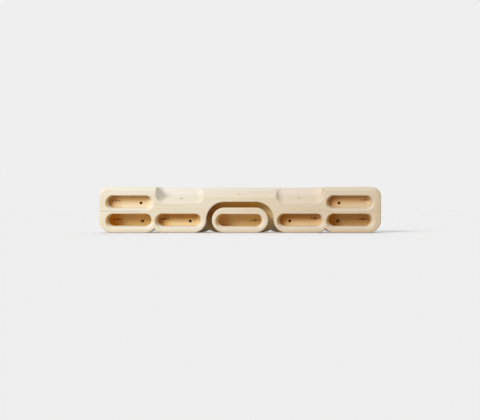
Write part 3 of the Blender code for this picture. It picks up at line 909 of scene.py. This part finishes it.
def painted_pocket_shade(graph, colour, x, z, depth, lip):
    """Darkens the wood inside the pockets with painted shade along their upper wall and at their left end,
    and on the rims at their left end.
    """
    across = graph.math("ABSOLUTE", x)
    side = graph.math("SIGN", x)
    for pocket_x, pocket_z, width, share, end_shade in SHADED_POCKETS:
        straight = width / 2 - POCKET_RADIUS
        along = graph.times(graph.minus(across, pocket_x), side)
        held = graph.math("MINIMUM", graph.math("MAXIMUM", along, -straight), straight)
        past_end = graph.minus(along, held)
        from_end = graph.plus(along, width / 2)
        up = graph.minus(z, pocket_z + BOTTOM_Z)
        away = graph.math("SQRT", graph.squares(past_end, up))
        toward_wall = graph.plus(graph.times(past_end, SHADE_TOWARD[0] / POCKET_RADIUS),
                                 graph.times(up, SHADE_TOWARD[1] / POCKET_RADIUS))
        inside = graph.times(graph.ramp(depth, *SHADE_DEPTH), graph.ramp(away, *SHADE_RIM))
        by_wall = graph.times(inside, graph.ramp(toward_wall, *SHADE_ACROSS, 0, share))
        by_end = graph.times(inside, graph.ramp(from_end, *END_SHADE))
        by_rim = graph.times(lip, graph.ramp(up, *RIM_FOOT), graph.ramp(up, *RIM_HEAD),
                             graph.ramp(away, *RIM_REACH), graph.ramp(from_end, *RIM_END))
        colour = graph.mix(by_wall, colour, POCKET_SHADE, "MULTIPLY")
        colour = graph.mix(by_end, colour, end_shade, "MULTIPLY")
        colour = graph.mix(by_rim, colour, LIP_SHADE, "MULTIPLY")
    return colour


def paint_light_and_shade(graph, colour, x, z):
    """Paints light and shade into the colour: a painted highlight on the lips, painted shade that browns
    the pockets and the groove, and the tint along the board, which is partly painted shade.
    """
    lip = graph.attribute("lip")
    depth = graph.attribute("cavity")
    # painted highlight: the rounded rims are paler, as where the light catches them
    colour = graph.mix(graph.times(lip, LIP_HIGHLIGHT), colour, PALE_WOOD_AND_HIGHLIGHT)
    # painted shade, deeper in the pockets and the groove
    colour = graph.mix(graph.times(depth, CAVITY_SHADE_SHARE), colour, CAVITY_SHADE)
    colour = painted_pocket_shade(graph, colour, x, z, depth, lip)
    along = graph.ramp(x, -WIDTH / 2, WIDTH / 2, kind="LINEAR")
    colour = graph.mix(1, colour, graph.colours(along, TONE_AND_SHADE_ALONG), "MULTIPLY")
    # painted shade in the groove, darker in its left leg
    along_groove = graph.ramp(x, -GROOVE_X, GROOVE_X, kind="LINEAR")
    return graph.mix(graph.attribute("groove"), colour, graph.colours(along_groove, GROOVE_SHADE_ALONG))


def glue_mask(graph, x, y, z, seams):
    """Where a seam's glue shows, and how much."""
    near = 0
    for axis, plane in seams:
        gap = graph.math("ABSOLUTE", graph.minus({"y": y, "z": z}[axis], plane))
        near = graph.math("MAXIMUM", near, graph.ramp(gap, *GLUE_EDGE))
    return graph.times(near, graph.ramp(x, *OPEN_SEAM))


def fleck_mask(graph, x, z):
    """Where the small dark marks of the front stave are: ellipses with soft edges."""
    total = 0
    for mark_x, height, half_length, half_height, tilt in FLECKS:
        turn = math.radians(tilt)
        run = graph.minus(x, mark_x)
        rise = graph.minus(z, height + BOTTOM_Z)
        along = graph.plus(graph.times(run, math.cos(turn) / half_length),
                           graph.times(rise, math.sin(turn) / half_length))
        aside = graph.minus(graph.times(rise, math.cos(turn) / half_height),
                            graph.times(run, math.sin(turn) / half_height))
        total = graph.plus(total, graph.ramp(graph.squares(along, aside), *FLECK_EDGE))
    return total


def pine(name, pith, lean, tone, seams, front_top):
    """Pale sanded pine for one stave.

    pith is where the tree's middle runs past the stave at x = 0, lean is how it drifts to the left,
    tone is how warm the stave is, or how pale where it is below 0, and seams are the y and z planes
    where it is glued. front_top is for the front layer's upper stave, which has a painted highlight
    along its upper edge and a few dark flecks.
    """
    material, graph, shader = new_material(name)
    where = graph.node("ShaderNodeTexCoord").outputs["Object"]
    x, y, z = graph.axes(where)
    facing = graph.axes(graph.node("ShaderNodeNewGeometry").outputs["Normal"])
    end = graph.ramp(graph.math("ABSOLUTE", facing["X"]), *FACING_ALONG)
    ring = growth_rings(graph, where, pith, lean)
    fibre = graph.noise(where, *FIBRES)

    colour = graph.mix(graph.times(ring, RING_SHARE), EARLY_WOOD, LATE_WOOD)
    colour = graph.mix(graph.ramp(graph.noise(where, *STREAKS), *STREAK_SHARE), colour, LATE_WOOD)
    colour = graph.mix(graph.ramp(graph.noise(where, *CLOUDS), *CLOUD_SHARE), colour, WARM_WOOD)
    colour = graph.mix(abs(tone), colour, WARM_WOOD if tone > 0 else PALE_WOOD_AND_HIGHLIGHT)
    # painted highlight on the faces that look up
    colour = graph.mix(graph.ramp(facing["Z"], *PAINTED_TOP_LIGHT), colour, PALE_WOOD_AND_HIGHLIGHT)
    if front_top:
        # painted highlight along the front stave's upper edge
        colour = graph.mix(graph.ramp(z, *PAINTED_UPPER_EDGE_LIGHT), colour, PALE_WOOD_AND_HIGHLIGHT)
    colour = graph.mix(graph.ramp(fibre, *FIBRE_SHARE), colour, LATE_WOOD)
    colour = end_grained(graph, colour, where, end)
    colour = paint_light_and_shade(graph, colour, x, z)
    colour = graph.mix(glue_mask(graph, x, y, z, seams), colour, GLUE)
    if front_top:
        colour = graph.mix(graph.times(fleck_mask(graph, x, z), FLECK_SHARE), colour, FLECK)

    relief = graph.plus(graph.times(fibre, RELIEF_SHARE), graph.times(ring, RELIEF_SHARE))
    bump = graph.node("ShaderNodeBump", {"Height": relief, "Strength": RELIEF_STRENGTH,
                                         "Distance": RELIEF_HEIGHT})
    rough = graph.plus(graph.plus(ROUGHNESS, graph.times(fibre, ROUGHER)), graph.times(end, ROUGHER))
    graph.feed(shader, {"Base Color": colour, "Roughness": rough, "Normal": bump.outputs["Normal"],
                        "Specular IOR Level": WOOD_GLOSS})
    return material


def seam_planes(layer, z_range):
    """The planes in the frame where a stave of this layer and height is glued to others."""
    planes = []
    if layer > 0:
        planes.append(("y", FRONT_Y + layer * LAYER_THICKNESS))
    if layer < LAYER_COUNT - 1:
        planes.append(("y", FRONT_Y + (layer + 1) * LAYER_THICKNESS))
    return planes + [("z", BOTTOM_Z + height) for height in z_range if 0 < height < HEIGHT]


def dress_staves(staves):
    for name, layer, _, z_range, _, pith, lean, tone, slot in STAVES:
        front_top = name == "front_upper_stave"
        material = pine(name + "_pine", pith, lean, tone, seam_planes(layer, z_range), front_top)
        stave = staves[name]
        stave.data.materials.append(material)
        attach(stave, "root")
        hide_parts(name)


# Burnt marks: plain numbers for the pockets' depths and the slopes' angles

MARK_LIFT = 0.03 * MM
MARK_THICKNESS = 0.05 * MM
NUMBER_HEIGHT = 5.6 * MM
NUMBER_BOLDNESS = 0.38 * MM
BAR_GAP = 0.9 * MM
BAR_RUN = 4.5 * MM
BAR_THICKNESS = 1.5 * MM
BAR_TICK = 0.45 * NUMBER_HEIGHT
DEGREE_GAP = 0.22 * NUMBER_HEIGHT
DEGREE_RISE = 0.24 * NUMBER_HEIGHT
DEGREE_RADIUS = 0.13 * NUMBER_HEIGHT
DEEP_BURN = ((0.12, 0.04, 0.012, 1), (0.24, 0.1, 0.035, 1))  # darkest and palest
LIGHT_BURN = ((0.3, 0.17, 0.08, 1), (0.48, 0.31, 0.17, 1))
BURN_PATCHES = ((500, 900, 900), 2)
BURN_SHARE = (0.35, 0.65)
BURN_ROUGHNESS = 0.75

# Depth marks: name, x, height, number in millimetres, pocket depth
DEPTH_MARKS = (
    ("upper_left", -265 * MM, 68 * MM, "15", SHALLOW_DEPTH),
    ("outer_left", -266 * MM, 28 * MM, "45", DEEP_DEPTH),
    ("inner_left", -162.5 * MM, 29 * MM, "25", MEDIUM_DEPTH),
    ("inner_right", 161 * MM, 30 * MM, "25", MEDIUM_DEPTH),
    ("upper_right", 267.7 * MM, 69.7 * MM, "15", SHALLOW_DEPTH),
    ("outer_right", 266.8 * MM, 28.7 * MM, "45", DEEP_DEPTH),
    ("centre", 33 * MM, 26 * MM, "45", DEEP_DEPTH),
)

# Angle marks: name, x, height, number in degrees, height of the slope's front edge, slope
ANGLE_MARKS = (
    ("side_left", -126 * MM, 73 * MM, "25", SIDE_SLOPER_FRONT, SIDE_SLOPE),
    ("centre_slope", -2 * MM, 82 * MM, "18", CENTRE_SLOPER_FRONT, CENTRE_SLOPE),
    ("side_right", 127 * MM, 74 * MM, "25", SIDE_SLOPER_FRONT, SIDE_SLOPE),
)


def burnt_wood(name, darkest, palest):
    """Scorched wood of a mark, patchy between two colours."""
    material, graph, shader = new_material(name)
    where = graph.node("ShaderNodeTexCoord").outputs["Object"]
    patchy = graph.ramp(graph.noise(where, *BURN_PATCHES), *BURN_SHARE)
    graph.feed(shader, {"Base Color": graph.mix(patchy, darkest, palest),
                        "Roughness": BURN_ROUGHNESS, "Specular IOR Level": WOOD_GLOSS})
    return material


def number_mesh(text):
    """Plain digits as a thin flat solid, centred, in the x-y plane."""
    curve = bpy.data.curves.new("digits", "FONT")
    curve.body = text
    curve.size = NUMBER_HEIGHT
    curve.align_x = curve.align_y = "CENTER"
    curve.extrude = MARK_THICKNESS / 2
    curve.offset = NUMBER_BOLDNESS
    curve.resolution_u = GLYPH_STEPS
    drawn = add_object("digits", curve)
    mesh = evaluated_mesh(drawn)
    bpy.data.objects.remove(drawn, do_unlink=True)
    return mesh


def add_bar(shape, start, sign):
    """A dimension bar to one side of a number, with an upright tick at its end."""
    for x, run, rise in ((start + BAR_RUN / 2, BAR_RUN, BAR_THICKNESS),
                         (start + BAR_RUN, BAR_THICKNESS, BAR_TICK)):
        placing = Matrix.Translation((sign * x, 0, 0)) @ Matrix.Diagonal((run, rise, MARK_THICKNESS, 1))
        bmesh.ops.create_cube(shape, size=1, matrix=placing)


def add_degree_ring(shape, x):
    """A small flat ring beside a number, for degrees."""
    outer, inner = (circle(x, DEGREE_RISE, radius, RING_SIDES)
                    for radius in (DEGREE_RADIUS, DEGREE_RADIUS / 2))
    level = MARK_THICKNESS / 2
    sections = [[(at_x, at_y, at_z) for at_x, at_y in ring]
                for ring, at_z in ((outer, -level), (outer, level), (inner, level), (inner, -level))]
    add_rings(shape, sections, closed=True)


def mark_shape(text, with_bars):
    """A number between two dimension bars, or else a number with a degree ring."""
    shape = bmesh.new()
    shape.from_mesh(number_mesh(text))
    wide = max(vert.co.x for vert in shape.verts)
    if with_bars:
        for sign in (-1, 1):
            add_bar(shape, wide + BAR_GAP, sign)
    else:
        add_degree_ring(shape, wide + DEGREE_GAP)
    return mesh_from("mark_" + text, shape)


def lay_mark(name, mesh, x, y, z, lean, material):
    """Lays a mark on the wood with its face to the front; lean tips it back onto a slope."""
    mark = add_object("mark_" + name, mesh)
    turn = Matrix.Rotation(math.pi / 2 - lean, 4, "X")
    mark.data.transform(Matrix.Translation((x, FRONT_Y + y, BOTTOM_Z + z)) @ turn)
    mark.data.materials.append(material)
    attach(mark, "root")


def make_marks():
    deep_burn = burnt_wood("deep_burn", *DEEP_BURN)
    light_burn = burnt_wood("light_burn", *LIGHT_BURN)
    lift = MARK_LIFT + MARK_THICKNESS / 2
    for name, x, z, text, depth in DEPTH_MARKS:
        lay_mark(name, mark_shape(text, True), x, depth - lift, z, 0, deep_burn)
    for name, x, z, text, front_z, slope in ANGLE_MARKS:
        y = (z - front_z) / math.tan(slope) - lift * math.sin(slope)
        z += lift * math.cos(slope)
        lay_mark(name, mark_shape(text, False), x, y, z, math.pi / 2 - slope, light_burn)


# Stage

FLOOR_SIZE = 12
FLOOR_DROP = 0.1 * MM
BACKGROUND = 0.863  # linear value of the photograph's plain pale grey
FLOOR_SEEN = 0.857  # the floor's own value, as the camera sees it
FLOOR_BOUNCE = 0.62  # its value for the light that it throws up at the board
MATT = 0.9
SHADE_SPOT_GAP = 0.2 * MM
HOLE_SHADE_DARK = (0.03, 0.03, 0.03, 1)  # painted shade behind the screw holes of the shallower pockets
HOLE_SHADE_BROWN = (0.38, 0.2, 0.08, 1)  # painted shade behind those of the deep ones, where less light gets in


def plain_material(name, colour):
    """A matt material of one colour, with its graph and its shader."""
    material, graph, shader = new_material(name)
    graph.feed(shader, {"Base Color": colour, "Roughness": MATT, "Specular IOR Level": 0})
    return material, graph, shader


def seen_rays(graph):
    """1 for the rays that show a surface to the camera, also by way of gloss or glass, else 0."""
    rays = graph.node("ShaderNodeLightPath").outputs
    indirect = graph.math("MAXIMUM", rays["Is Glossy Ray"], rays["Is Transmission Ray"])
    return graph.math("MAXIMUM", rays["Is Camera Ray"], indirect)


def floor_material():
    """A pale floor, which throws less light up at the board than its colour would."""
    material, graph, shader = plain_material("pale_floor", (FLOOR_SEEN, FLOOR_SEEN, FLOOR_SEEN, 1))
    value = graph.ramp(seen_rays(graph), 0, 1, FLOOR_BOUNCE, FLOOR_SEEN, kind="LINEAR")
    graph.feed(shader, {"Base Color": value})
    return material


def make_floor():
    shape = bmesh.new()
    placing = Matrix.Translation((0, 0, BOTTOM_Z - FLOOR_DROP))
    bmesh.ops.create_grid(shape, x_segments=1, y_segments=1, size=FLOOR_SIZE / 2, matrix=placing)
    floor = add_object("floor", mesh_from("floor", shape))
    floor.data.materials.append(floor_material())


def shade_spot_material(name, colour):
    """A plain disc of painted shade, see-through from behind, so that the board's back can be looked at.
    """
    material, graph, shader = plain_material(name, colour)
    behind = graph.node("ShaderNodeNewGeometry").outputs["Backfacing"]
    clear = graph.node("ShaderNodeBsdfTransparent").outputs[0]
    mixed = graph.node("ShaderNodeMixShader", {0: behind, 1: shader.outputs[0], 2: clear}).outputs[0]
    graph.feed(graph.tree.nodes["Material Output"], {"Surface": mixed})
    return material


def make_hole_shade_spots():
    """Painted shade behind the screw holes: discs where a wall behind the board would show through them in
    shade.
    """
    dark = shade_spot_material("dark_hole_shade", HOLE_SHADE_DARK)
    brown = shade_spot_material("brown_hole_shade", HOLE_SHADE_BROWN)
    facing_front = Matrix.Rotation(math.pi / 2, 4, "X")
    for name, x, z, depth in screw_holes():
        placing = Matrix.Translation((x, CAD_HIGH.y + SHADE_SPOT_GAP, BOTTOM_Z + z)) @ facing_front
        shape = bmesh.new()
        bmesh.ops.create_circle(shape, cap_ends=True, segments=HOLE_SIDES,
                                radius=SCREW_HOLE / 2 + HOLE_CHAMFER, matrix=placing)
        mesh = bpy.data.meshes.new("hole_shade_spot_" + name)
        shape.to_mesh(mesh)
        shape.free()
        spot = add_object("hole_shade_spot_" + name, mesh)
        spot.data.materials.append(brown if depth == DEEP_DEPTH else dark)


# Light

# Direction that the light comes from, strength, and angle across in degrees
KEY = ((-0.55, -0.725, 0.413), 2.17, 26)
BACK = ((0.1, 0.89, 0.45), 0.9, 40)
SKY_EVEN = 0.24  # the studio's walls
SKY_OVERHEAD = 0.5  # the soft box above


def add_sun(name, direction, strength, angle):
    lamp = bpy.data.lights.new(name, "SUN")
    lamp.energy = strength
    lamp.angle = math.radians(angle)
    sun = add_object(name, lamp)
    sun.rotation_mode = "QUATERNION"
    sun.rotation_quaternion = Vector(direction).normalized().to_track_quat("Z", "Y")
    return sun


def make_light():
    """A key from the upper left, a weaker light from behind, and an even sky brighter overhead."""
    world = bpy.data.worlds.new("studio")
    bpy.context.scene.world = world
    world.use_nodes = True
    world.node_tree.nodes.clear()
    graph = Graph(world.node_tree)
    grey = (BACKGROUND, BACKGROUND, BACKGROUND, 1)
    backdrop = graph.node("ShaderNodeBackground", {"Color": grey, "Strength": 1}).outputs[0]
    height = graph.axes(graph.node("ShaderNodeTexCoord").outputs["Generated"])["Z"]
    glow = graph.ramp(height, 0, 1, SKY_EVEN, SKY_EVEN + SKY_OVERHEAD)
    sky = graph.node("ShaderNodeBackground", {"Color": (1, 1, 1, 1), "Strength": glow}).outputs[0]
    mixed = graph.node("ShaderNodeMixShader", {0: seen_rays(graph), 1: sky, 2: backdrop}).outputs[0]
    graph.node("ShaderNodeOutputWorld", {"Surface": mixed})
    add_sun("key", *KEY)
    add_sun("back", *BACK).visible_glossy = False


# Camera: level and square to the board, as in the photograph, and 2 m in front of its front face.
# IMAGE_CENTRE is where the board's middle lies in the 480 x 420 picture.

CAMERA_DISTANCE = 2
METRES_PER_PIXEL = 2.125 * MM
IMAGE_SIZE = (480, 420)
IMAGE_CENTRE = (240.05, 209.65)
SENSOR_WIDTH = 36
CLIP_END = 100


def make_camera():
    data = bpy.data.cameras.new("camera")
    data.sensor_width = SENSOR_WIDTH
    data.lens = SENSOR_WIDTH * CAMERA_DISTANCE / (METRES_PER_PIXEL * IMAGE_SIZE[0])
    data.clip_end = CLIP_END
    camera = add_object("camera", data)
    middle_z = BOTTOM_Z + HEIGHT / 2
    camera.location = (
        (IMAGE_SIZE[0] / 2 - IMAGE_CENTRE[0]) * METRES_PER_PIXEL,
        FRONT_Y - CAMERA_DISTANCE,
        middle_z + (IMAGE_CENTRE[1] - IMAGE_SIZE[1] / 2) * METRES_PER_PIXEL,
    )
    camera.rotation_euler = (math.pi / 2, 0, 0)
    bpy.context.scene.camera = camera


bpy.context.scene.view_settings.view_transform = "Standard"
make_camera()
dress_staves(make_staves())
make_marks()
make_floor()
make_hole_shade_spots()
make_light()
